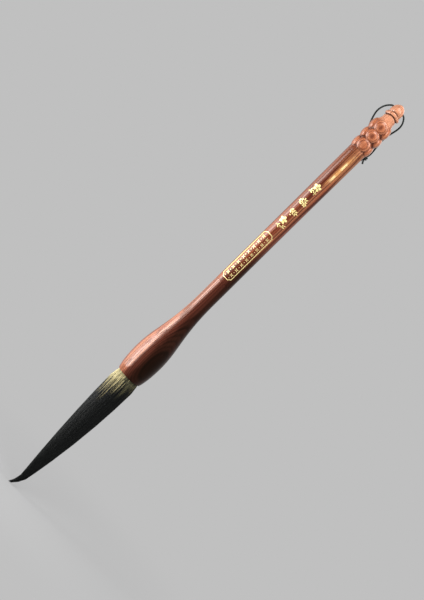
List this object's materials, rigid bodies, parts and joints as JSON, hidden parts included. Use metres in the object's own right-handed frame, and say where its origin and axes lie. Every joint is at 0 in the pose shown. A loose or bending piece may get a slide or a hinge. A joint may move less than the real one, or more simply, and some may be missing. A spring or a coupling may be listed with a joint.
{
  "type": "calligraphy brush",
  "caption": "Large writing brush: a long pointed head of dark hair in a flared wooden bell, a slim turned shaft, and a carved finial with a cord hanging loop.",
  "frame": {"origin": "on the handle's axis where the fingers hold it, 80 mm above the bell's mouth", "axes": "+Z along the handle from the hair's tip to the knob, X along the cross hole in the knob, -Y towards the inscribed front"},
  "size_m": [0.019, 0.019, 0.305],
  "materials": {
    "bell_wood": "glossy clear lacquer over dark red rosewood",
    "shaft_wood": "glossy clear lacquer over red rosewood with fine lengthwise grain",
    "finial_wood": "satin lacquer over carved rosewood",
    "brush_hair": "ink-wet dark animal hair, cream at the roots",
    "thread": "waxed cotton thread",
    "resin": "hardened pine resin",
    "cord": "thin dark braided cord",
    "gilt": "bright gold leaf ornament on the shaft"
  },
  "bodies": {
    "brush": {"ferrule_bell": "bell_wood", "handle_shaft": "shaft_wood", "carved_finial": "finial_wood", "hair_mantle": "brush_hair", "hair_belly": "brush_hair", "hair_core": "brush_hair", "root_binding": "thread", "root_resin": "resin"},
    "loop": {"hanging_loop": "cord", "loop_knot": "cord"}
  },
  "joints": [
    {"name": "loop_swing", "type": "hinge", "parent": "brush", "child": "loop", "pos_m": [0, 0, 0.1315], "axis": [1, 0, 0], "range_deg": [0, 324]}
  ]
}
